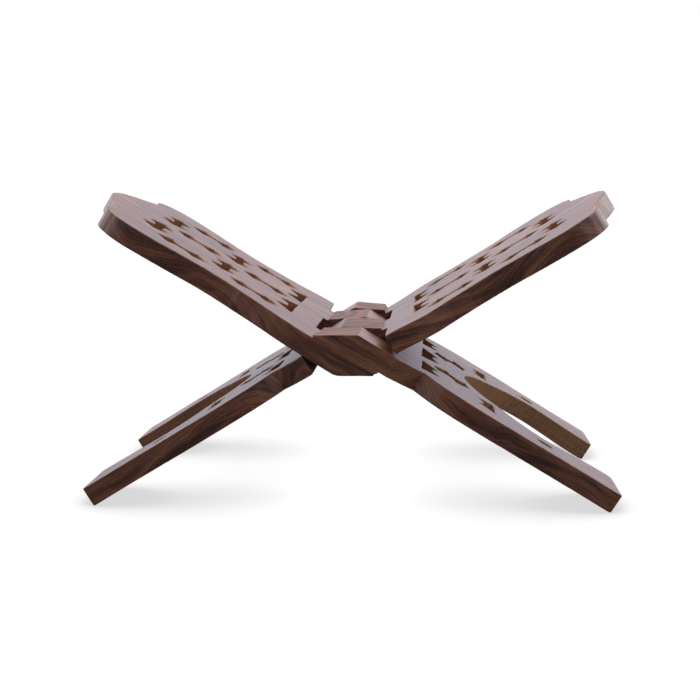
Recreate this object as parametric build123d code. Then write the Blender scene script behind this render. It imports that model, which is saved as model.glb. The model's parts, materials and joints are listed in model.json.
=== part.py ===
from build123d import *
import math
import os

# Folding X-shaped book rest sawn from one plank: two interlocked halves that
# turn on shared wooden knuckles, with no pin, screw or glue.
#
# Frame: +Z up, X across the open stand, Y along the hinge axis.
# Origin: on the ground, straight below the middle of the hinge.
#
# Plank frame, used to draw both halves: u along the plank from the hinge axis
# (book rest on -u, leg on +u), y across the plank, n through its thickness.

# ---- driving dimensions (mm, degrees) -------------------------------------
slope = 31.45            # slope of each half when the stand is open
leg_length = 151.0       # hinge axis to foot end
rest_length = 153.8      # hinge axis to the tip of the book rest
plank_width = 152.4      # widest place, across the legs
plank_thick = 23.3       # plank before it is split
kerf = 2.1               # width of the saw cut that splits the plank

hinge_half_width = 74.6  # half width of the plank at the knuckles
knuckle_edge = 41.8      # boundary between an outer and an inner knuckle
knuckle_gap = 0.8        # side gap between neighbouring knuckles
stop_clear = 0.25        # gap left at the open stop
kerf_overcut = 3.6       # how far the saw cut runs into a knuckle
knuckle_bottom_round = 1.2
knuckle_top_round = 0.5
foot_round = 1.0         # eased edges at the foot end
overshoot = 1.0          # how far cutting tools reach past the wood

# ---- derived dimensions ----------------------------------------------------
half_thick = plank_thick / 2
half_kerf = kerf / 2
slope_rad = math.radians(slope)
# where the flat top of a knuckle meets the rest, and its flat bottom the leg
crease = (half_thick + half_kerf) / math.tan(slope_rad)
# square end of a rest or leg in a slot
slot_u = half_thick / math.tan(slope_rad) + stop_clear
# the eased lower edge of each foot stands on the ground
hinge_z = (leg_length * math.sin(slope_rad) - half_kerf * math.cos(slope_rad)
           - foot_round * (math.sin(slope_rad) + math.cos(slope_rad) - 1))

# ---- plank outline, +y half: (u, y) ----------------------------------------
# Runs from the rest tip to the middle of the leg arch. Each run starts where
# the last one ends; two points make a straight line, more make a spline.
half_outline = [
    # end of the rest
    [(-rest_length, 0.0), (-153.0, 9.6), (-150.6, 17.6)],
    [(-150.6, 17.6), (-147.0, 27.0), (-142.6, 37.4), (-138.9, 48.4)],
    # notch beside the corner of the rest
    [(-138.9, 48.4), (-141.2, 54.6)],
    # side of the rest
    [(-141.2, 54.6), (-139.6, 61.4), (-135.6, 67.0), (-129.6, 71.0), (-121.5, 72.8),
     (-112, 72.4), (-101, 70.2), (-91, 67.8), (-78, 66.2), (-65.8, 67.0),
     (-50, 70.1), (-35, 73.4), (-22, hinge_half_width)],
    # hinge
    [(-22, hinge_half_width), (22, hinge_half_width)],
    # side of the leg
    [(22, hinge_half_width), (30, 71.0), (36.6, 66.8)],
    [(36.6, 66.8), (41.5, 70.2), (50.6, 74.0), (60.7, 75.7), (75, plank_width / 2),
     (89, 75.7), (103, 74.8), (119, 74.1), (133.5, 73.8), (148.2, 73.8)],
    # foot: outer corner, end, inner corner
    [(148.2, 73.8), (150.2, 73.2), (leg_length, 71.4)],
    [(leg_length, 71.4), (leg_length, 40.2)],
    [(leg_length, 40.2), (149.8, 37.7), (147.2, 36.8)],
    # open arch between the feet
    [(147.2, 36.8), (140.6, 37.4), (131.0, 39.8), (121.4, 43.0), (111.3, 45.8),
     (101.2, 44.5), (91.0, 39.6), (81.0, 31.2), (74.5, 26.6), (69.0, 20.4),
     (65.0, 12.6), (63.0, 4.6), (62.7, 0.0)],
]

# ---- carved openings -------------------------------------------------------
# Bone sizes are (length, width, waist), half-bone sizes (length, reach, waist).
# The u of a half bone is that of its straight side.
rest_long_size = (29.0, 14.0, 5.0)       # bones along the plank
rest_long_u = (57.4, 99.9)               # distances from the hinge, towards -u
rest_row_pitch = 46.4                    # spacing of their three rows
rest_cross_size = (29.5, 15.0, 5.0)      # bones across the plank
rest_cross_u = (78.7, 119.8)
rest_cross_y = 23.6
rest_root_size = (34.5, 10.0, 4.2)       # half bones by the hinge
rest_root_u = 35.9

leg_root_u = 35.4                        # half bones by the hinge
leg_root_mid_size = (32.0, 10.0, 6.0)
leg_root_side_size = (26.0, 9.8, 6.0)
leg_root_side_y = 43.8
leg_slant_size = (22.6, 15.0, 7.0)       # slanting bone, centred between two points
leg_slant_start = (45.8, 23.6)
leg_slant_end = (61.0, 29.2)
leg_half_size = (22.8, 10.0, 6.2)        # half bones further down the leg
leg_half_u = 78.4
leg_half_y = 47.6
leg_dash_u = 106.0                       # small openings nearest the feet
leg_dash_y = 58.6


def mirrored(runs):
    """The runs mirrored in y = 0 and walked backwards."""
    return [[(x, -y) for x, y in reversed(run)] for run in reversed(runs)]


def closed_face(runs):
    """Face bounded by runs of points: two make a line, more make a spline."""
    return make_face([Line(*run) if len(run) == 2 else Spline(*run) for run in runs])


def bone(length, width, waist):
    """Opening along x with two lobes, pointed to the sides and at both ends."""
    end, reach = length / 2, width / 2
    top = [
        [(0, waist / 2), (0.15 * end, waist / 2 + 0.1),
         (0.35 * end, 0.68 * reach), (0.53 * end, reach)],
        [(0.53 * end, reach), (0.69 * end, 0.70 * reach), (0.85 * end, 0.34 * reach), (end, 0)],
    ]
    right = top + mirrored(top)
    left = [[(-x, -y) for x, y in run] for run in right]
    return closed_face(right + left)


def half_bone(length, reach, waist):
    """Half of a bone along y: straight side on x = 0, two points towards +x."""
    end = length / 2
    upper = [
        [(waist, 0), (waist + 0.1, 0.14 * end), (0.80 * reach, 0.36 * end), (reach, 0.55 * end)],
        [(reach, 0.55 * end), (0.66 * reach, 0.72 * end), (0, end)],
    ]
    return closed_face(upper + [[(0, end), (0, -end)]] + mirrored(upper))


def dash():
    """Small opening, pointed towards the hinge and square towards the foot."""
    upper = [[(-6.2, 0), (-2.6, 1.5), (-0.4, 3.5)], [(-0.4, 3.5), (5.6, 2.6)]]
    return closed_face(upper + [[(5.6, 2.6), (5.6, -2.6)]] + mirrored(upper))


def rest_openings():
    faces = []
    long_bone = bone(*rest_long_size)
    for u in rest_long_u:
        for y in (-rest_row_pitch, 0, rest_row_pitch):
            faces.append(Pos(-u, y) * long_bone)
    cross_bone = bone(*rest_cross_size)
    for y in (-rest_cross_y, rest_cross_y):
        for u in rest_cross_u:
            faces.append(Pos(-u, y) * Rot(0, 0, 90) * cross_bone)
        faces.append(Pos(-rest_root_u, y) * Rot(0, 0, 180) * half_bone(*rest_root_size))
    return faces


def leg_openings():
    faces = [Pos(leg_root_u, 0) * half_bone(*leg_root_mid_size)]
    (start_u, start_y), (end_u, end_y) = leg_slant_start, leg_slant_end
    mid_u, mid_y = (start_u + end_u) / 2, (start_y + end_y) / 2
    slant = math.degrees(math.atan2(end_y - start_y, end_u - start_u))
    for s in (-1, 1):
        faces += [
            Pos(leg_root_u, s * leg_root_side_y) * half_bone(*leg_root_side_size),
            Pos(mid_u, s * mid_y) * Rot(0, 0, s * slant) * bone(*leg_slant_size),
            Pos(leg_half_u, s * leg_half_y) * Rot(0, 0, 180) * half_bone(*leg_half_size),
            Pos(leg_dash_u, s * leg_dash_y) * dash(),
        ]
    return faces


def side_profile():
    """Rest, knuckle and leg seen along the hinge axis, as a face in (u, n)."""
    rest_end = -rest_length - overshoot
    face = make_face(Polyline(
        (rest_end, -half_thick), (0, -half_thick), (crease, half_kerf),
        (leg_length, half_kerf), (leg_length, half_thick), (0, half_thick),
        (-crease, -half_kerf), (rest_end, -half_kerf), close=True))
    for u, n, radius in (
        (0, -half_thick, knuckle_bottom_round),
        (leg_length, half_kerf, foot_round),
        (leg_length, half_thick, foot_round),
        (0, half_thick, knuckle_top_round),
    ):
        corner = face.vertices().sort_by_distance((u, n, 0))[0]
        face = fillet(corner, radius)
    return face


def build_half(side):
    """One half. side = +1: rest to -X; side = -1: rest to +X."""
    # side profile swept across the plank, then trimmed to the outline
    tool_width = plank_width + 2 * overshoot
    body = extrude(Rot(90, 0, 0) * side_profile(), amount=tool_width / 2, both=True)
    outline = closed_face(half_outline + mirrored(half_outline))
    body = body & extrude(Pos(0, 0, -half_thick - overshoot) * outline,
                          amount=plank_thick + 2 * overshoot)

    # the saw cut runs a little way into the knuckle at both creases
    for s in (-1, 1):
        body -= Pos(s * (crease - kerf_overcut / 2 + overshoot / 2), 0, 0) * Box(
            kerf_overcut + overshoot, tool_width, kerf)

    # slots for the knuckles of the other half, as (y start, y end)
    slot_edge = plank_width / 2 + 2 * overshoot
    if side > 0:
        slots = [(-knuckle_edge, 0), (knuckle_edge, slot_edge)]
    else:
        slots = [(-slot_edge, -knuckle_edge), (0, knuckle_edge)]
    for y0, y1 in slots:
        body -= Pos(0, (y0 + y1) / 2, 0) * Box(
            2 * slot_u, y1 - y0 + knuckle_gap, plank_thick + 4 * overshoot)

    # the rest lies below n = 0 and the leg above it
    cut_depth = half_thick + overshoot
    for faces, base in ((rest_openings(), -cut_depth), (leg_openings(), 0)):
        for face in faces:
            body -= extrude(Pos(0, 0, base) * face, amount=cut_depth)

    if side < 0:
        body = mirror(body, about=Plane.YZ)
    return Pos(0, 0, hinge_z) * Rot(0, side * slope, 0) * body


os.makedirs("parts", exist_ok=True)
for name, side in (("left_rest_half", 1), ("right_rest_half", -1)):
    export_step(build_half(side), f"parts/{name}.step")
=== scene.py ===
import bpy
import json
import math
import numpy as np
from mathutils import Matrix, Vector


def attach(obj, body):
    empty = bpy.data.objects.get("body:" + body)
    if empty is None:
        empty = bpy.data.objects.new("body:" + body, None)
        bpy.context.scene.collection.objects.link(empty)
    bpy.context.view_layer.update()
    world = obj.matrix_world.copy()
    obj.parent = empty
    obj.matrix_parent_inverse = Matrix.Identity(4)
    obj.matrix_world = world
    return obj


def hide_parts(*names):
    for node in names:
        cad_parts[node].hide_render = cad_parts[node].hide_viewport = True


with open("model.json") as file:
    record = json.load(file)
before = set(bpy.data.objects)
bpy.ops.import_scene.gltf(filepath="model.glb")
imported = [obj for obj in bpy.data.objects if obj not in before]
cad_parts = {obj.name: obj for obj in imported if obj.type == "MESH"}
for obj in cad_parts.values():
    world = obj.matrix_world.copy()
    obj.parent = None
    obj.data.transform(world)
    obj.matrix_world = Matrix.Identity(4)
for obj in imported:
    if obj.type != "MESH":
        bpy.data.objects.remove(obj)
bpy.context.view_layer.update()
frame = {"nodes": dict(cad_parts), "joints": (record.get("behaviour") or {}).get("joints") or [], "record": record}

# ---------------------------------------------------------------------------
# Frame: both halves are drawn in the plank's own directions, in millimetres.
# q runs along the plank from the hinge axis (book rest on -q, leg on +q),
# y across it, n through its thickness. side is +1 for the half whose rest
# goes to -X, and -1 for the other, which is its mirror in X.
# ---------------------------------------------------------------------------
JOINT = [j for j in frame["joints"] if j["name"] == "fold"][0]
HINGE = JOINT["pos_m"][2] * 1000.0
FACE = [m for m in frame["record"]["mounts"] if m["name"] == "left_book_face"][0]
THETA = math.asin(FACE["axis"][0])
C, S = math.cos(THETA), math.sin(THETA)
SIDES = {"left_rest_half": 1, "right_rest_half": -1}
BODY = {"left_rest_half": "left_half", "right_rest_half": "right_half"}


def to_plank(co, side):
    """Row frame in metres to (q, y, n) in millimetres."""
    x, y, z = co[:, 0] * 1000 * side, co[:, 1] * 1000, co[:, 2] * 1000 - HINGE
    return np.stack([x * C - z * S, y, x * S + z * C], 1)


def to_row(p, side):
    """(q, y, n) in millimetres to the row frame in metres."""
    q, y, n = p[:, 0], p[:, 1], p[:, 2]
    return np.stack([side * (q * C + n * S), y, HINGE - q * S + n * C], 1) / 1000


def dir_to_row(g, side):
    q, y, n = g[:, 0], g[:, 1], g[:, 2]
    return np.stack([side * (q * C + n * S), y, -q * S + n * C], 1)


def dir_to_plank(v, side):
    x, y, z = v[:, 0] * side, v[:, 1], v[:, 2]
    return np.stack([x * C - z * S, y, x * S + z * C], 1)


def cad_triangles(name):
    me = frame["nodes"][name].data
    me.calc_loop_triangles()
    co = np.empty(len(me.vertices) * 3)
    me.vertices.foreach_get("co", co)
    tri = np.empty(len(me.loop_triangles) * 3, np.int64)
    me.loop_triangles.foreach_get("vertices", tri)
    return to_plank(co.reshape(-1, 3), SIDES[name])[tri.reshape(-1, 3)]


def slice_at(tris, n0):
    """Segments where the CAD surface crosses the level n = n0, as (k, 2, 2) in (q, y)."""
    d = tris[:, :, 2] - n0
    out = []
    for a, b, c in ((0, 1, 2), (1, 2, 0), (2, 0, 1)):
        # corner a alone on its side of the level
        m = ((d[:, a] > 0) & (d[:, b] <= 0) & (d[:, c] <= 0)) | (
            (d[:, a] <= 0) & (d[:, b] > 0) & (d[:, c] > 0))
        t, e = tris[m], d[m]
        p = t[:, a] + (t[:, b] - t[:, a]) * (e[:, a] / (e[:, a] - e[:, b]))[:, None]
        r = t[:, a] + (t[:, c] - t[:, a]) * (e[:, a] / (e[:, a] - e[:, c]))[:, None]
        out.append(np.stack([p[:, :2], r[:, :2]], 1))
    return np.concatenate(out)


TRIS = {n: cad_triangles(n) for n in SIDES}
_left = TRIS["left_rest_half"].reshape(-1, 3)
T = float(_left[:, 2].max())                      # half of the plank's thickness
K = float(-_left[_left[:, 0] < -60][:, 2].max())   # half of the saw cut
REST_TIP = float(-_left[:, 0].min())
LEG_END = float(_left[:, 0].max())
CREASE = (T + K) / math.tan(THETA)
SLOT_Q = T / math.tan(THETA) + 0.25
EDGE_Y = 41.8                                     # outer to inner knuckle
SIDE_GAP = 0.4

STEP = 0.55
PAD = 2.0
GQ = np.arange(-REST_TIP - PAD, LEG_END + PAD, STEP)
GY = np.arange(-76.2 - PAD, 76.2 + PAD, STEP)
GN = np.arange(-T - 1.3, T + 1.3, STEP * (0.9))
BAND = 4.0


def waves(xs, lo, hi, count, seed):
    """Smooth seeded noise, a sum of plane waves with wavelengths from lo to hi, about -1 to 1."""
    rng = np.random.default_rng(seed)
    out = 0.0
    for _ in range(count):
        v = rng.normal(size=len(xs))
        v /= np.linalg.norm(v)
        lam = math.exp(rng.uniform(math.log(lo), math.log(hi)))
        ph = rng.uniform(0, 2 * math.pi)
        arg = ph
        for a, x in zip(v, xs):
            arg = arg + x * (a * 2 * math.pi / lam)
        out = out + np.sin(arg)
    return (out / math.sqrt(count) / 0.7071 * 0.6).astype(np.float32)


def seg_field(segs, xs, ys):
    """Signed distance on a grid to a set of closed loops given as segments, negative inside."""
    dx, dy = xs[1] - xs[0], ys[1] - ys[0]
    dist = np.full((len(xs), len(ys)), BAND, np.float32)
    cross = np.zeros((len(xs), len(ys) + 1), np.int32)
    for (x1, y1), (x2, y2) in segs:
        i0 = max(int((min(x1, x2) - BAND - xs[0]) / dx), 0)
        i1 = min(int((max(x1, x2) + BAND - xs[0]) / dx) + 2, len(xs))
        j0 = max(int((min(y1, y2) - BAND - ys[0]) / dy), 0)
        j1 = min(int((max(y1, y2) + BAND - ys[0]) / dy) + 2, len(ys))
        if i0 >= i1 or j0 >= j1:
            continue
        px, py = xs[i0:i1, None] - x1, ys[None, j0:j1] - y1
        ex, ey = x2 - x1, y2 - y1
        t = np.clip((px * ex + py * ey) / max(ex * ex + ey * ey, 1e-12), 0, 1)
        d = np.hypot(px - t * ex, py - t * ey)
        view = dist[i0:i1, j0:j1]
        np.minimum(view, d, out=view)
        if x1 != x2:
            a, b = (x1, x2) if x1 < x2 else (x2, x1)
            ca = int(math.ceil((a - xs[0]) / dx))
            cb = int(math.ceil((b - xs[0]) / dx))
            for i in range(max(ca, 0), min(cb, len(xs))):
                yc = y1 + (xs[i] - x1) * (y2 - y1) / (x2 - x1)
                j = int(math.ceil((yc - ys[0]) / dy))
                cross[i, min(max(j, 0), len(ys))] += 1
    inside = (np.cumsum(cross, 1)[:, :-1] % 2) == 1
    return np.where(inside, -dist, dist).astype(np.float32)


def both(a, b, r):
    """Intersection of two fields with a convex edge eased to radius r."""
    ar, br = a + r, b + r
    return (np.minimum(np.maximum(ar, br), 0)
            + np.hypot(np.maximum(ar, 0), np.maximum(br, 0)) - r).astype(np.float32)


def outline_field(name):
    """Plan of a half with all its openings: the CAD's own curves at mid-thickness of each lamination."""
    tr = TRIS[name]
    level = (T + K) / 2
    rest, leg = slice_at(tr, -level + 1e-4), slice_at(tr, level + 1e-4)
    rest = rest[(rest[:, :, 0] < -21.9).all(1)]
    leg = leg[(leg[:, :, 0] > 21.9).all(1)]
    joins = [((-22.0, s * 74.6), (22.0, s * 74.6)) for s in (-1, 1)]
    segs = [tuple(map(tuple, s)) for s in rest] + [tuple(map(tuple, s)) for s in leg] + joins
    # nudge the grid so that no column runs exactly through a corner
    return seg_field(segs, GQ + 1.37e-4, GY + 1.91e-4)


# Each knuckle was pared by hand: (y near, y far, lift of its flat top at the hinge near and far,
# fall of the flat towards its own rest near and far), in millimetres and as slopes.
FLATS = {1: [(-80, -EDGE_Y, 0.45, 0.25, 0.0, 0.012), (0.0, EDGE_Y, 0.20, 0.15, 0.062, 0.070)],
         -1: [(-EDGE_Y, 0.0, 0.25, 0.30, 0.035, 0.045), (EDGE_Y, 80, 0.85, 1.05, 0.070, 0.085)]}
# how far the saw cut runs into each knuckle from its crease: (y, upper cut, lower cut)
CUTS = {1: [(-76, 1.0, 3.6), (-42, 3.9, 3.4), (0, 3.1, 3.5), (42, 3.3, 3.7)],
        -1: [(-42, 2.7, 3.4), (0, 3.1, 3.6), (42, 4.3, 3.5), (76, 4.6, 3.4)]}


def side_field(side, q, y, n):
    """Rest, knuckle and leg seen along the hinge axis, as a field over the plank."""
    lift, fall = np.zeros_like(y), np.zeros_like(y)
    for y0, y1, a0, a1, b0, b1 in FLATS[side]:
        m = (y >= y0) & (y <= y1)
        w = (y - y0) / (y1 - y0)
        lift = np.where(m, a0 + (a1 - a0) * w, lift)
        fall = np.where(m, b0 + (b1 - b0) * w, fall)
    up = -q * S + n * C
    toward = -(q * C + n * S)
    flat = (up - T * C - lift + fall * toward).astype(np.float32)
    top = both(np.minimum(n + K, flat), (n - T) + 0 * q + 0 * y, 0.55)
    del flat
    under = -(up + T * C)
    low = both(np.minimum(K - n, under) + 0 * y, (-T - n) + 0 * q + 0 * y, 1.2)
    f = np.maximum(top, low)
    del top, low
    end = both(np.maximum(q - LEG_END + 0 * n, -99), np.maximum(n - T, K - n) + 0 * q, 1.0)
    return np.maximum(f, np.where(q > LEG_END - 6, end, -99.0)).astype(np.float32)


def knuckle_zones(side):
    far = 76.2 + 6
    own_a = [(-far, -EDGE_Y), (0.0, EDGE_Y)]
    own_b = [(-EDGE_Y, 0.0), (EDGE_Y, far)]
    return own_b if side > 0 else own_a


# three short pale nicks across the right leg: (q, y, lean in degrees, length, width)
NICKS = [(56.4, 49.4, 24, 3.6, 2.1), (52.6, 1.6, 20, 3.2, 2.4), (55.0, -47.6, 26, 2.8, 2.6)]


def nick_axes(q, y, cq, cy, lean, length, width):
    w = math.radians(lean)
    dq, dy = q - cq, y - cy
    return (dy * math.cos(w) + dq * math.sin(w)) / length, (dq * math.cos(w) - dy * math.sin(w)) / width


def solid_field(name):
    side = SIDES[name]
    seed = 11 if side > 0 else 47
    q, y, n = GQ[:, None, None], GY[None, :, None], GN[None, None, :]
    plan = outline_field(name)
    q2, y2 = GQ[:, None], GY[None, :]
    # scroll-saw wander of every cut wall, and a slight lean through the thickness
    wander = 0.17 * waves((q2, y2), 9, 26, 14, seed) + 0.08 * waves((q2, y2), 3.5, 8, 14, seed + 1)
    lean = 0.022 * waves((q2, y2), 14, 40, 10, seed + 2)
    a = plan[:, :, None] + np.maximum(wander, -0.14)[:, :, None] + (lean[:, :, None] * n)
    # hand-planed faces are not quite flat
    undulate = 0.03 + 0.05 * waves((q2, y2), 24, 70, 10, seed + 3)
    near_hinge = np.clip((np.abs(q2) - 14) / 14, 0, 1)
    s = side_field(side, q, y, n) + (undulate * near_hinge)[:, :, None]
    # eased edges: softer at the tip and the feet, a little uneven everywhere
    r = 0.42 + 0.14 * waves((q2, y2), 16, 50, 10, seed + 4)
    r = r + 0.25 * np.clip((-q2 - 120) / 24, 0, 1) + 0.45 * np.clip((-q2 - 146) / 5, 0, 1)
    r = np.clip(r, 0.25, 1.2)[:, :, None]
    f = both(a, s, r)
    del a, s
    # slots for the other half's knuckles
    for y0, y1 in knuckle_zones(side):
        yc, hw = (y0 + y1) / 2, (y1 - y0) / 2 + SIDE_GAP
        jag = 0.10 * waves((GY[None, :], GN[:, None]), 5, 14, 8, seed + 5).T[None, :, :]
        # the end grain of each rest was trimmed back a little by hand
        end_q = SLOT_Q + 1.4 * (q < 0)
        bx = np.maximum(np.abs(q) - end_q + np.maximum(jag, -0.1), np.abs(y - yc) - hw
                        + 0.05 * waves((q2, GN[None, :]), 6, 18, 8, seed + 6)[:, None, :] * 0.8)
        f = both(f, -bx, 0.45)
        del bx
    # the saw cut runs a little way into each knuckle, not always square to the edge
    cy = [c[0] for c in CUTS[side]]
    ragged = 0.25 * waves((GY[:, None], GN[None, :]), 4, 12, 8, seed + 7)[None]
    for sgn, col in ((-1, 1), (1, 2)):
        depth = np.interp(GY, cy, [c[col] for c in CUTS[side]])[None, :, None]
        inner = CREASE - depth - ragged
        cut = np.maximum(np.maximum(inner - sgn * q, sgn * q - (CREASE + 1.2)), np.abs(n) - K)
        f = np.maximum(f, -cut)
        del cut
    if side > 0:
        # the lower cut was overrun on the near knuckle and left an open step
        step = np.maximum(np.maximum(15.8 - q, q - 18.6) + 0 * n, (-q * S + n * C) + 8.85)
        f = np.maximum(f, -np.maximum(step, y + EDGE_Y))
        for nick in NICKS:
            e1, e2 = nick_axes(q, y, *nick)
            e3 = (n - (T + 0.40)) / 0.70
            f = np.maximum(f, (1 - np.sqrt(e1 * e1 + e2 * e2 + e3 * e3)) * 0.70)
    return np.minimum(f, BAND).astype(np.float32)


# Each rest has moved a little since it was sawn: (lift at the middle, twist per mm of y)
TWIST = {1: (-0.25, -0.0060), -1: (-0.45, 0.0170)}


def settle(p, side):
    """Move points of the rest through its thickness by the set the wood has taken."""
    lift, twist = TWIST[side]
    w = np.clip((-p[:, 0] - 21.0) / 26.0, 0, 1)
    w = w * w * (3 - 2 * w)
    out = p.copy()
    out[:, 2] += w * (lift + twist * p[:, 1])
    return out


def surface_nets(F, axes):
    """Closed quad surface of F = 0 on a grid. F is negative inside. Returns points and quads."""
    ins = F < 0
    c = np.zeros(tuple(d - 1 for d in F.shape), np.int8)
    for i in (0, 1):
        for j in (0, 1):
            for k in (0, 1):
                c += ins[i:i + c.shape[0], j:j + c.shape[1], k:k + c.shape[2]]
    active = (c > 0) & (c < 8)
    index = np.full(active.shape, -1, np.int32)
    ii, jj, kk = np.nonzero(active)
    index[ii, jj, kk] = np.arange(len(ii), dtype=np.int32)
    pos = np.zeros((len(ii), 3))
    cnt = np.zeros(len(ii))
    for ax in range(3):
        for u in (0, 1):
            for v in (0, 1):
                o = [0, 0, 0]
                o[(ax + 1) % 3], o[(ax + 2) % 3] = u, v
                e = list(o)
                e[ax] = 1
                fa = F[ii + o[0], jj + o[1], kk + o[2]]
                fb = F[ii + e[0], jj + e[1], kk + e[2]]
                m = (fa < 0) != (fb < 0)
                t = fa[m] / (fa[m] - fb[m])
                p = np.tile(np.array(o, float), (m.sum(), 1))
                p[:, ax] = t
                pos[m] += p
                cnt[m] += 1
    pos /= cnt[:, None]
    steps = np.array([a[1] - a[0] for a in axes])
    start = np.array([a[0] for a in axes])
    verts = (np.stack([ii, jj, kk], 1) + pos) * steps + start
    quads = []
    for ax in range(3):
        b, d = (ax + 1) % 3, (ax + 2) % 3
        sl0, sl1 = [slice(None)] * 3, [slice(None)] * 3
        sl0[ax], sl1[ax] = slice(0, -1), slice(1, None)
        for k in (b, d):
            sl0[k] = slice(1, -1)
            sl1[k] = slice(1, -1)
        lo, hi = ins[tuple(sl0)], ins[tuple(sl1)]
        for flip, mask in ((False, lo & ~hi), (True, ~lo & hi)):
            g = np.stack(np.nonzero(mask), 1)
            base = g.copy()
            base[:, b] += 1
            base[:, d] += 1
            def cell(db, dd):
                w = base.copy()
                w[:, b] += db
                w[:, d] += dd
                return index[w[:, 0], w[:, 1], w[:, 2]]
            loop = np.stack([cell(-1, -1), cell(0, -1), cell(0, 0), cell(-1, 0)], 1)
            quads.append(loop[:, ::-1] if flip else loop)
    return verts, np.concatenate(quads)


def sample(F, axes, p):
    """Trilinear value of F at points p."""
    steps = np.array([a[1] - a[0] for a in axes])
    start = np.array([a[0] for a in axes])
    g = (p - start) / steps
    i = np.clip(np.floor(g).astype(int), 0, np.array(F.shape) - 2)
    w = g - i
    c = {}
    for a in (0, 1):
        for b in (0, 1):
            for d in (0, 1):
                c[a, b, d] = F[i[:, 0] + a, i[:, 1] + b, i[:, 2] + d]
    x, y, z = w[:, 0], w[:, 1], w[:, 2]
    def mix(a, b, t):
        return a * (1 - t) + b * t
    x00, x01 = mix(c[0, 0, 0], c[1, 0, 0], x), mix(c[0, 0, 1], c[1, 0, 1], x)
    x10, x11 = mix(c[0, 1, 0], c[1, 1, 0], x), mix(c[0, 1, 1], c[1, 1, 1], x)
    return mix(mix(x00, x10, y), mix(x01, x11, y), z)


def gradient(F, axes, p, h=0.5):
    g = np.zeros_like(p)
    for k in range(3):
        d = np.zeros(3)
        d[k] = h
        g[:, k] = sample(F, axes, p + d) - sample(F, axes, p - d)
    return g / np.maximum(np.linalg.norm(g, axis=1), 1e-9)[:, None]


def add_attr(me, name, kind, data):
    at = me.attributes.new(name, kind, "POINT")
    at.data.foreach_set("vector" if kind == "FLOAT_VECTOR" else "value", np.ascontiguousarray(data, np.float32).ravel())


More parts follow.
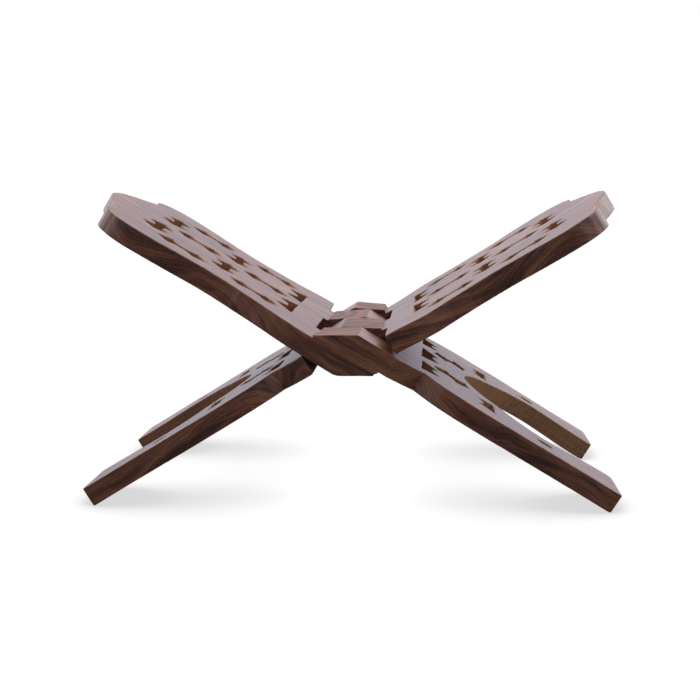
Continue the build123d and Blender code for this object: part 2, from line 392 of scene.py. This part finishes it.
def build_half(name):
    side = SIDES[name]
    F = solid_field(name)
    axes = (GQ, GY, GN)
    v, quads = surface_nets(F, axes)
    for _ in range(2):
        g = gradient(F, axes, v, 0.3)
        d = sample(F, axes, v)
        v = v - g * np.clip(d, -0.25, 0.25)[:, None]
    if side < 0:
        quads = quads[:, ::-1]
    me = bpy.data.meshes.new(name + "_wood")
    me.vertices.add(len(v))
    me.vertices.foreach_set("co", to_row(v, side).astype(np.float32).ravel())
    me.loops.add(quads.size)
    me.loops.foreach_set("vertex_index", quads.astype(np.int32).ravel())
    me.polygons.add(len(quads))
    me.polygons.foreach_set("loop_start", np.arange(0, quads.size, 4, dtype=np.int32))
    me.update(calc_edges=True)
    me.validate()
    ob = bpy.data.objects.new(name + "_wood", me)
    bpy.context.scene.collection.objects.link(ob)
    tris = 2 * len(quads)
    # thin out the broad faces and keep every eased edge at full detail
    g = gradient(F, axes, v, 0.9)
    ag = np.abs(g)
    free = np.maximum(ag[:, 2], np.hypot(ag[:, 0], ag[:, 1])) > 0.9995
    vg = ob.vertex_groups.new(name="broad")
    vg.add([int(i) for i in np.nonzero(free)[0]], 1.0, "REPLACE")
    mod = ob.modifiers.new("thin", "DECIMATE")
    mod.vertex_group = "broad"
    mod.vertex_group_factor = 1.0
    mod.ratio = min(1.0, 196000 / tris)
    dg = bpy.context.evaluated_depsgraph_get()
    thin = bpy.data.meshes.new_from_object(ob.evaluated_get(dg), depsgraph=dg)
    ob.modifiers.remove(mod)
    ob.data = thin
    bpy.data.meshes.remove(me)
    me = thin
    me.name = name + "_wood"
    ob.vertex_groups.clear()
    print(name, "full", tris, "kept", sum(len(f.vertices) - 2 for f in me.polygons), "edge points", int((~free).sum()))
    co = np.empty(len(me.vertices) * 3, np.float32)
    me.vertices.foreach_get("co", co)
    p = to_plank(co.reshape(-1, 3).astype(float), side)
    g = gradient(F, axes, p, 0.2)
    me.vertices.foreach_set("co", to_row(settle(p, side), side).astype(np.float32).ravel())
    me.polygons.foreach_set("use_smooth", np.ones(len(me.polygons), bool))
    row_n = dir_to_row(g, side)
    me.normals_split_custom_set_from_vertices([tuple(x) for x in row_n])
    # where each point lies in the one plank both halves were cut from
    plank = p.copy()
    grain = g.copy()
    if side < 0:
        plank[:, 2] *= -1
        grain[:, 2] *= -1
    add_attr(me, "plank", "FLOAT_VECTOR", plank)
    add_attr(me, "grain_normal", "FLOAT_VECTOR", grain)
    ax = np.abs(g)
    edge = np.clip((1 - np.maximum(ax[:, 2], np.hypot(ax[:, 0], ax[:, 1]))) * 3.6, 0, 1)
    edge *= np.clip((np.abs(p[:, 0]) - 20) / 3, 0, 1)
    add_attr(me, "edge", "FLOAT", edge)
    # walls of the openings and of the arch are bare, rougher wood
    half_w = np.interp(p[:, 0], [-153, -138, -120, -78, -22, 22, 36.6, 60, 152], [20, 45, 66, 61, 69, 69, 61, 70, 65])
    wall = ax[:, 2] < 0.75
    inner = wall & (np.abs(p[:, 1]) < half_w) & (np.abs(p[:, 0]) > 23) & (p[:, 0] < LEG_END - 1.5) & (p[:, 0] > -133)
    # painted shade: beside the notch in each rest tip the end face takes the bare walls' colour and duller finish,
    # standing in for the shade the near lobe casts there
    cusp_shade = np.where(wall & (p[:, 0] < -136), np.interp(np.abs(p[:, 1]), [27, 37, 51, 53], [0, 0.72, 0.72, 0]), 0.0)
    bare_and_shade = np.where(inner, np.interp(p[:, 0], [-130, 30, 66, 100, 148], [0.58, 0.60, 1.0, 0.75, 0.42]), 0.0)
    if side < 0:
        bare_and_shade *= np.where(p[:, 0] > 0, 0.66, 1.0)    # painted shade: the left leg's opening walls are made darker, standing in for the shade inside its openings
    add_attr(me, "bare_and_shade", "FLOAT", np.maximum(bare_and_shade, cusp_shade))
    # flat knuckle tops, pared with a chisel
    up = -g[:, 0] * S + g[:, 2] * C
    pared = (np.abs(up) > 0.97) & (np.abs(p[:, 0]) < CREASE + 1)
    add_attr(me, "pared", "FLOAT", pared.astype(float))
    nick = np.zeros(len(p))
    if side > 0:
        for one in NICKS:
            e1, e2 = nick_axes(p[:, 0], p[:, 1], *one)
            nick = np.maximum(nick, np.clip(2.2 * (1.0 - np.hypot(e1, e2)), 0, 1) * (p[:, 2] > T - 1.2))
    add_attr(me, "nick", "FLOAT", nick)
    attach(ob, BODY[name])
    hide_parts(name)
    return ob


# ---------------------------------------------------------------------------
# Materials
# ---------------------------------------------------------------------------
class Graph:
    """Short-hand for building a node tree."""

    def __init__(self, tree):
        self.t = tree

    def node(self, kind, inputs=None, **props):
        n = self.t.nodes.new(kind)
        for k, v in props.items():
            setattr(n, k, v)
        for k, v in (inputs or {}).items():
            sock = n.inputs[k]
            if isinstance(v, bpy.types.NodeSocket):
                self.t.links.new(v, sock)
            elif v is not None:
                sock.default_value = v
        return n

    def math(self, op, a, b=None, c=None, clamp=False):
        n = self.node("ShaderNodeMath", {0: a, 1: b, 2: c}, operation=op, use_clamp=clamp)
        return n.outputs[0]

    def vec(self, op, a, b=None, out=0, scale=None):
        n = self.node("ShaderNodeVectorMath", {0: a, 1: b}, operation=op)
        if scale is not None:
            if isinstance(scale, bpy.types.NodeSocket):
                self.t.links.new(scale, n.inputs["Scale"])
            else:
                n.inputs["Scale"].default_value = scale
        return n.outputs[out]

    def attr(self, name, out):
        return self.node("ShaderNodeAttribute", attribute_name=name).outputs[out]

    def noise(self, vector, scale=1.0, detail=2.0, rough=0.5, distort=0.0):
        return self.node("ShaderNodeTexNoise", {"Vector": vector, "Scale": scale, "Detail": detail,
                                               "Roughness": rough, "Distortion": distort}).outputs["Fac"]

    def ramp(self, fac, stops, interp="LINEAR"):
        n = self.node("ShaderNodeValToRGB", {"Fac": fac})
        n.color_ramp.interpolation = interp
        els = n.color_ramp.elements
        els[0].position, els[0].color = stops[0][0], (*stops[0][1], 1)
        els[1].position, els[1].color = stops[-1][0], (*stops[-1][1], 1)
        for p, col in stops[1:-1]:
            e = els.new(p)
            e.color = (*col, 1)
        return n.outputs["Color"]

    def span(self, v, a, b, c=0.0, d=1.0, smooth=True):
        n = self.node("ShaderNodeMapRange", {"Value": v, "From Min": a, "From Max": b, "To Min": c, "To Max": d},
                      interpolation_type="SMOOTHSTEP" if smooth else "LINEAR")
        return n.outputs["Result"]

    def mix(self, fac, a, b, kind="MIX"):
        n = self.node("ShaderNodeMix", data_type="RGBA", blend_type=kind)
        for sock, v in ((n.inputs["Factor"], fac), (n.inputs[6], a), (n.inputs[7], b)):
            if isinstance(v, bpy.types.NodeSocket):
                self.t.links.new(v, sock)
            else:
                sock.default_value = v if not isinstance(v, tuple) or len(v) == 4 else (*v, 1)
        return n.outputs[2]


# knots run through the whole plank, so each shows on both halves: (q, y, reach)
KNOTS = [(36.0, -79.0, 11.0), (-112.0, 30.0, 8.0), (96.0, 64.0, 7.0)]


def wood_material():
    mat = bpy.data.materials.new("oiled_hardwood")
    mat.use_nodes = True
    mat.node_tree.nodes.clear()
    g = Graph(mat.node_tree)
    P = g.attr("plank", "Vector")
    N = g.attr("grain_normal", "Vector")
    edge = g.attr("edge", "Fac")
    # this attribute marks bare cut walls, and also carries painted shade: darker walls inside the left leg's openings
    # and a duller strip at the notch of each rest tip
    bare_and_shade = g.attr("bare_and_shade", "Fac")
    nick = g.attr("nick", "Fac")
    pared = g.attr("pared", "Fac")

    sep = g.node("ShaderNodeSeparateXYZ", {0: P})
    q, y, n = sep.outputs
    nsep = g.node("ShaderNodeSeparateXYZ", {0: N})
    end = g.math("ABSOLUTE", nsep.outputs[0])

    # slow wander of the fibres
    slow = g.vec("MULTIPLY", P, (0.011, 0.030, 0.030))
    warp = g.node("ShaderNodeTexNoise", {"Vector": slow, "Scale": 1.0, "Detail": 2.0, "Roughness": 0.5})
    w = g.vec("SUBTRACT", warp.outputs["Color"], (0.5, 0.5, 0.5))
    w = g.vec("MULTIPLY", w, (0.0, 11.0, 8.0))
    Pw = g.vec("ADD", P, w)

    # growth rings about a pith that lies below the plank
    ws = g.node("ShaderNodeSeparateXYZ", {0: Pw})
    dy = g.math("SUBTRACT", ws.outputs[1], 24.0)
    dn = g.math("SUBTRACT", ws.outputs[2], -64.0)
    r = g.math("SQRT", g.math("ADD", g.math("MULTIPLY", dy, dy), g.math("MULTIPLY", dn, dn)))
    knot_core = None
    knot_ring = None
    for kq, ky, reach in KNOTS:
        a = g.math("SUBTRACT", q, kq)
        b = g.math("SUBTRACT", y, ky)
        d = g.math("SQRT", g.math("ADD", g.math("MULTIPLY", g.math("MULTIPLY", a, a), 0.45), g.math("MULTIPLY", b, b)))
        bump = g.math("EXPONENT", g.math("MULTIPLY", g.math("MULTIPLY", d, d), -1.0 / (reach * reach)))
        r = g.math("ADD", r, g.math("MULTIPLY", bump, reach * 0.34))
        core = g.span(d, reach * 0.60, reach * 0.12)
        ring = g.math("MULTIPLY", bump, core)
        knot_core = core if knot_core is None else g.math("MAXIMUM", knot_core, core)
        knot_ring = bump if knot_ring is None else g.math("MAXIMUM", knot_ring, bump)

    # dark and light streaks that follow the rings
    ringv = g.node("ShaderNodeCombineXYZ", {0: g.math("MULTIPLY", q, 0.015), 1: g.math("MULTIPLY", r, 0.36),
                                            2: g.math("MULTIPLY", n, 0.03)}).outputs[0]
    broad = g.noise(ringv, 1.0, 3.0, 0.62, 0.15)
    finev = g.node("ShaderNodeCombineXYZ", {0: g.math("MULTIPLY", q, 0.034), 1: g.math("MULTIPLY", r, 1.70),
                                            2: g.math("MULTIPLY", n, 0.12)}).outputs[0]
    fine = g.noise(finev, 1.0, 4.0, 0.6, 0.2)
    fibre = g.noise(g.vec("MULTIPLY", Pw, (0.09, 3.2, 3.2)), 1.0, 3.0, 0.65)
    blotch = g.noise(g.vec("MULTIPLY", P, (0.016, 0.05, 0.05)), 1.0, 2.0, 0.5)

    tone = g.math("ADD", g.math("MULTIPLY", broad, 0.62), g.math("MULTIPLY", fine, 0.38))
    tone = g.math("ADD", tone, g.math("MULTIPLY", g.math("SUBTRACT", blotch, 0.5), 0.20))
    tone = g.math("ADD", tone, g.math("MULTIPLY", g.math("SUBTRACT", fibre, 0.5), 0.30))
    col = g.ramp(tone, [(0.36, (0.044, 0.0210, 0.0190)), (0.44, (0.092, 0.0360, 0.0260)),
                        (0.51, (0.160, 0.0620, 0.0400)), (0.58, (0.208, 0.0830, 0.0490)),
                        (0.68, (0.272, 0.1200, 0.0710))])
    col = g.mix(g.math("MULTIPLY", knot_ring, 0.22), col, (0.260, 0.120, 0.055))
    col = g.mix(g.math("MULTIPLY", knot_core, 0.45), col, (0.150, 0.062, 0.034))

    # open pores: short dark dashes along the grain
    pv = g.vec("MULTIPLY", Pw, (0.16, 1.9, 1.9))
    vor = g.node("ShaderNodeTexVoronoi", {"Vector": pv, "Scale": 1.0, "Randomness": 1.0}, feature="F1").outputs["Distance"]
    pore = g.span(vor, 0.20, 0.07)
    keep = g.span(g.noise(g.vec("MULTIPLY", P, (0.05, 0.22, 0.22)), 1.0, 2.0, 0.5), 0.42, 0.62)
    pore = g.math("MULTIPLY", pore, keep)
    col = g.mix(g.math("MULTIPLY", pore, 0.55), col, (0.030, 0.014, 0.011))

    # cross-cut walls show end grain: paler, olive, duller
    endw = g.span(end, 0.35, 0.95)
    olive = g.mix(0.4, g.mix(fine, (0.170, 0.090, 0.036), (0.380, 0.235, 0.100)), col, "MIX")
    col = g.mix(g.math("MULTIPLY", endw, g.math("ADD", g.math("MULTIPLY", bare_and_shade, 0.40), 0.20)), col, olive)
    file_marks = g.noise(g.vec("MULTIPLY", P, (0.9, 0.9, 0.22)), 1.0, 3.0, 0.6)
    barecol = g.mix(0.78, col, g.mix(g.span(file_marks, 0.3, 0.7), (0.520, 0.260, 0.125), (0.700, 0.390, 0.205)))
    col = g.mix(g.math("MULTIPLY", bare_and_shade, 0.92), col, barecol)
    # handled edges and the three bare nicks are lighter
    worn = g.math("MULTIPLY", edge, g.span(g.noise(g.vec("MULTIPLY", P, (0.12, 0.12, 0.12)), 1.0, 3.0, 0.6), 0.42, 0.66))
    col = g.mix(g.math("MULTIPLY", worn, 0.38), col, (0.360, 0.185, 0.095))
    torn = g.span(g.noise(g.vec("MULTIPLY", P, (1.1, 0.55, 0.9)), 1.0, 3.0, 0.6), 0.36, 0.52)
    col = g.mix(g.math("MULTIPLY", g.math("MULTIPLY", nick, torn), 0.80), col, (0.66, 0.50, 0.38))

    rough = g.math("ADD", g.math("MULTIPLY", fibre, 0.16), 0.29)
    rough = g.math("ADD", rough, g.math("MULTIPLY", bare_and_shade, 0.14))
    rough = g.math("ADD", rough, g.math("MULTIPLY", pared, 0.16))
    rough = g.math("ADD", rough, g.math("MULTIPLY", pore, 0.18))
    rough = g.math("ADD", rough, g.math("MULTIPLY", endw, 0.08))

    height = g.math("SUBTRACT", g.math("MULTIPLY", fibre, 0.45), g.math("MULTIPLY", pore, 0.9))
    height = g.math("ADD", height, g.math("MULTIPLY", fine, 0.35))
    # marks left by the file on cut walls
    teeth = g.noise(g.vec("MULTIPLY", P, (1.4, 1.4, 0.35)), 1.0, 2.0, 0.6)
    height = g.math("ADD", height, g.math("MULTIPLY", g.math("MULTIPLY", teeth, bare_and_shade), 1.3))
    bump = g.node("ShaderNodeBump", {"Height": height, "Strength": 0.55, "Distance": 0.00012})

    bsdf = g.node("ShaderNodeBsdfPrincipled", {"Base Color": col, "Roughness": rough, "Normal": bump.outputs[0]})
    bsdf.inputs["IOR"].default_value = 1.48
    level = g.math("SUBTRACT", 0.47, g.math("ADD", g.math("MULTIPLY", pared, 0.13), g.math("MULTIPLY", bare_and_shade, 0.20)))
    level = g.math("ADD", level, g.math("MULTIPLY", g.math("SUBTRACT", fine, 0.5), 0.30))
    level = g.math("SUBTRACT", level, g.math("MULTIPLY", pore, 0.16))
    g.t.links.new(level, bsdf.inputs["Specular IOR Level"])
    g.node("ShaderNodeOutputMaterial", {"Surface": bsdf.outputs[0]})
    return mat


def floor_material():
    """White sweep: the camera sees a bright floor with soft contact shadows."""
    mat = bpy.data.materials.new("studio_floor")
    mat.use_nodes = True
    mat.node_tree.nodes.clear()
    g = Graph(mat.node_tree)
    soft = g.noise(g.node("ShaderNodeNewGeometry").outputs["Position"], 1.3, 2.0, 0.5)
    grey = g.mix(soft, (FLOOR_BOUNCE - 0.01,) * 3, (FLOOR_BOUNCE + 0.01,) * 3)
    dif = g.node("ShaderNodeBsdfDiffuse", {"Color": grey})
    wide = g.node("ShaderNodeAmbientOcclusion", {"Distance": 0.056}, samples=16).outputs["AO"]
    close = g.node("ShaderNodeAmbientOcclusion", {"Distance": 0.022}, samples=8).outputs["AO"]
    shade = g.math("MULTIPLY", g.span(wide, 0.50, 0.90, 0.72, 1.0, smooth=False), g.span(close, 0.3, 0.9, 0.93, 1.0, smooth=False))
    white = g.node("ShaderNodeEmission", {"Color": (1.0, 1.0, 1.0, 1), "Strength": g.math("MULTIPLY", shade, 1.02)})
    lp = g.node("ShaderNodeLightPath")
    clear = g.node("ShaderNodeBsdfTransparent")
    geo = g.node("ShaderNodeNewGeometry")
    # mirrored in the oiled faces, the sweep behind the stand is bright and the floor in front is not
    place = g.node("ShaderNodeSeparateXYZ", {0: geo.outputs["Position"]})
    sheen = g.node("ShaderNodeEmission", {"Color": (0.95, 0.95, 1.10, 1),
                                         "Strength": g.span(place.outputs[1], -0.05, 0.50, 0.05, SHINE_BACK * 0.58)})
    other = g.node("ShaderNodeMixShader", {0: lp.outputs["Is Glossy Ray"], 1: dif.outputs[0], 2: sheen.outputs[0]})
    seen = g.node("ShaderNodeMixShader", {0: lp.outputs["Is Camera Ray"], 1: other.outputs[0], 2: white.outputs[0]})
    mix = g.node("ShaderNodeMixShader", {0: geo.outputs["Backfacing"], 1: seen.outputs[0], 2: clear.outputs[0]})
    g.node("ShaderNodeOutputMaterial", {"Surface": mix.outputs[0]})
    return mat


# ---------------------------------------------------------------------------
# Pieces
# ---------------------------------------------------------------------------
FLOOR_BOUNCE = 0.28
SHINE_BACK, SHINE_FRONT = 1.14, 0.03
KEY, FILL = 18.0, 1.2
wood = wood_material()
pieces = [build_half(n) for n in SIDES]
for p in pieces:
    p.data.materials.clear()
    p.data.materials.append(wood)
for node in frame["nodes"].values():
    node.data.materials.clear()
    node.data.materials.append(wood)

# ---------------------------------------------------------------------------
# Studio
# ---------------------------------------------------------------------------
def plane(name, size, z):
    me = bpy.data.meshes.new(name)
    h = size / 2
    me.from_pydata([(-h, -h, z), (h, -h, z), (h, h, z), (-h, h, z)], [], [(0, 1, 2, 3)])
    ob = bpy.data.objects.new(name, me)
    bpy.context.scene.collection.objects.link(ob)
    return ob


floor = plane("floor", 40.0, 0.0)
floor.data.materials.append(floor_material())

world = bpy.data.worlds.new("studio")
bpy.context.scene.world = world
world.use_nodes = True
world.node_tree.nodes.clear()
g = Graph(world.node_tree)
ds = g.node("ShaderNodeSeparateXYZ", {0: g.node("ShaderNodeTexCoord").outputs["Generated"]})
behind = g.span(ds.outputs[1], -0.35, 0.75)
up = g.span(ds.outputs[2], 0.0, 0.8)
aside = g.span(g.math("ABSOLUTE", ds.outputs[0]), 0.35, 0.95)
open_ = g.math("MAXIMUM", behind, aside)
lit = g.math("ADD", g.math("MULTIPLY", open_, 0.42), g.math("ADD", g.math("MULTIPLY", up, 0.45), 0.06))
shine = g.math("ADD", g.math("MULTIPLY", open_, SHINE_BACK), SHINE_FRONT)
# a soft panel high behind each end, seen only as sheen on the tips
toward = g.node("ShaderNodeCombineXYZ", {0: g.math("ABSOLUTE", ds.outputs[0]), 1: ds.outputs[1], 2: ds.outputs[2]}).outputs[0]
panel = g.span(g.vec("DOT_PRODUCT", toward, (0.70, 0.64, 0.32), out=1), 0.90, 0.985)
shine = g.math("ADD", shine, g.math("MULTIPLY", panel, g.span(ds.outputs[0], -0.2, 0.2, 1.5, 2.5, smooth=False)))
lp = g.node("ShaderNodeLightPath")
glossy = lp.outputs["Is Glossy Ray"]
level = g.node("ShaderNodeMix", {0: glossy, 2: lit, 3: shine}, data_type="FLOAT").outputs[0]
tint = g.mix(glossy, (1.0, 1.0, 1.0), (0.95, 0.95, 1.08))
level = g.node("ShaderNodeMix", {0: lp.outputs["Is Camera Ray"], 2: level, 3: 1.0}, data_type="FLOAT").outputs[0]
tint = g.mix(lp.outputs["Is Camera Ray"], tint, (1.0, 1.0, 1.0))
bg = g.node("ShaderNodeBackground", {"Color": tint, "Strength": level})
g.node("ShaderNodeOutputWorld", {"Surface": bg.outputs[0]})


def area(name, loc, target, size, power):
    li = bpy.data.lights.new(name, "AREA")
    li.shape = "RECTANGLE"
    li.size, li.size_y = size
    li.energy = power
    ob = bpy.data.objects.new(name, li)
    ob.location = loc
    ob.rotation_euler = (Vector(target) - Vector(loc)).to_track_quat("-Z", "Y").to_euler()
    bpy.context.scene.collection.objects.link(ob)
    return ob


key = area("key_top", (0.10, 0.30, 1.5), (0, 0, 0.05), (1.8, 1.3), KEY)
fill = area("front_fill", (0.25, -1.8, 0.55), (0, 0, 0.08), (1.6, 0.9), FILL)
fill.visible_glossy = False

cam_data = bpy.data.cameras.new("camera")
cam_data.sensor_width = 36.0
cam_data.lens = 1165.0 / 700 * 36
cam_data.clip_start, cam_data.clip_end = 0.01, 60
cam = bpy.data.objects.new("camera", cam_data)
bpy.context.scene.collection.objects.link(cam)
right = Vector((0.99769866, 0.06760811, -0.00515045))
upv = Vector((-0.00468005, 0.14444507, 0.98950175))
fwd = Vector((-0.0676423, 0.98720047, -0.14442907))
m = Matrix((right, upv, -fwd)).transposed().to_4x4()
m.translation = Vector((0.03972097, -0.63437164, HINGE / 1000 + 0.08494122))
cam.matrix_world = m
bpy.context.scene.camera = cam

bpy.context.scene.view_settings.view_transform = "Standard"
bpy.context.scene.view_settings.look = "None"

bpy.context.view_layer.update()
